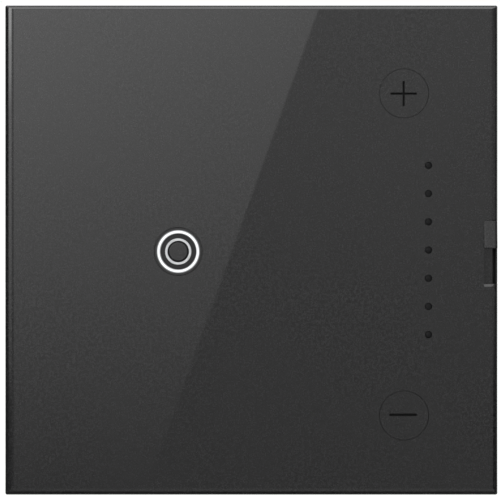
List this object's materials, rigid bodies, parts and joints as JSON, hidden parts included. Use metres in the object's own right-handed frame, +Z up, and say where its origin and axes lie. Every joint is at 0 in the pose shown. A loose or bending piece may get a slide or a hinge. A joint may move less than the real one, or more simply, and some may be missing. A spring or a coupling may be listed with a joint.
{
  "type": "wall dimmer module with air-gap slide switch",
  "caption": "Flat square wall dimmer module: lit on/off key, raise and lower keys, a column of level lamps, and a small edge slider that isolates the circuit.",
  "frame": {"origin": "centre of the module's bounding box, which is level with the centre of the square face; the mounting plane is 9.89 mm in front of it, at Y = -0.00989", "axes": "+X to the right of a person facing the module, +Y into the wall, +Z up"},
  "size_m": [0.0676, 0.0426, 0.0672],
  "materials": {
    "graphite": "gloss, fine metallic flecks",
    "bezel_black": "fine spark texture",
    "housing_grey": "fine spark texture",
    "light_guide": "translucent, lit white",
    "ring_grey": "frosted",
    "smoked": "polished",
    "nylon": "natural",
    "fibreglass": "solder mask",
    "aluminium": "rolled, clear passivated",
    "zinc_steel": "zinc plated",
    "brass": "satin",
    "copper": "enamelled wire",
    "nickel": "nickel plated",
    "ground_green": "green plated",
    "chip_black": "epoxy",
    "led_white": "white body, yellow phosphor",
    "ferrite": "coated",
    "film_yellow": "epoxy filled box",
    "can_blue": "sleeve",
    "varistor_blue": "epoxy dipped",
    "fuse_glass": "clear with nickel caps"
  },
  "bodies": {
    "module": {"face_plate": "graphite", "bezel_frame": "bezel_black", "power_light_ring": "light_guide", "level_light_pipe": "smoked", "light_mask": "bezel_black", "air_gap_blade_line": "brass", "air_gap_blade_load": "brass", "air_gap_detent_spring": "zinc_steel", "control_board": "fibreglass", "microcontroller": "chip_black", "board_connector": "chip_black", "power_tact_base": "chip_black", "plus_tact_base": "chip_black", "minus_tact_base": "chip_black", "ring_led": "led_white", "level_led_1": "led_white", "level_led_2": "led_white", "level_led_3": "led_white", "level_led_4": "led_white", "level_led_5": "led_white", "level_led_6": "led_white", "level_led_7": "led_white", "heatsink_yoke": "aluminium", "transistor_a": "chip_black", "transistor_b": "chip_black", "transistor_screw_a": "zinc_steel", "transistor_screw_b": "zinc_steel", "power_board": "fibreglass", "choke_core": "ferrite", "choke_winding": "copper", "film_capacitor": "film_yellow", "bulk_capacitor": "can_blue", "varistor": "varistor_blue", "fuse": "fuse_glass", "rear_housing": "housing_grey", "housing_screw_1": "zinc_steel", "housing_screw_2": "zinc_steel", "housing_screw_3": "zinc_steel", "housing_screw_4": "zinc_steel", "line_terminal_plate": "brass", "line_terminal_screw": "brass", "load_terminal_plate": "brass", "load_terminal_screw": "brass", "neutral_terminal_plate": "nickel", "neutral_terminal_screw": "nickel", "ground_terminal_plate": "zinc_steel", "ground_terminal_screw": "ground_green", "left_mount_clip": "zinc_steel", "right_mount_clip": "zinc_steel"},
    "air_gap_switch": {"air_gap_slider": "graphite", "air_gap_carriage": "nylon", "air_gap_bridge": "copper"},
    "power_button": {"power_key": "graphite", "power_key_inlay": "ring_grey", "power_tact_plunger": "nylon"},
    "raise_button": {"plus_key": "graphite", "plus_tact_plunger": "nylon"},
    "lower_button": {"minus_key": "graphite", "minus_tact_plunger": "nylon"}
  },
  "joints": [
    {"name": "air_gap_slide", "type": "slide", "parent": "module", "child": "air_gap_switch", "axis": [0, 0, 1], "range_m": [-0.0048, 0], "deforming": ["air_gap_detent_spring"]},
    {"name": "power_key_press", "type": "slide", "parent": "module", "child": "power_button", "axis": [0, 1, 0], "range_m": [0, 0.00035], "stiffness_N_per_m": 60},
    {"name": "raise_key_press", "type": "slide", "parent": "module", "child": "raise_button", "axis": [0, 1, 0], "range_m": [0, 0.00035], "stiffness_N_per_m": 60},
    {"name": "lower_key_press", "type": "slide", "parent": "module", "child": "lower_button", "axis": [0, 1, 0], "range_m": [0, 0.00035], "stiffness_N_per_m": 60}
  ]
}
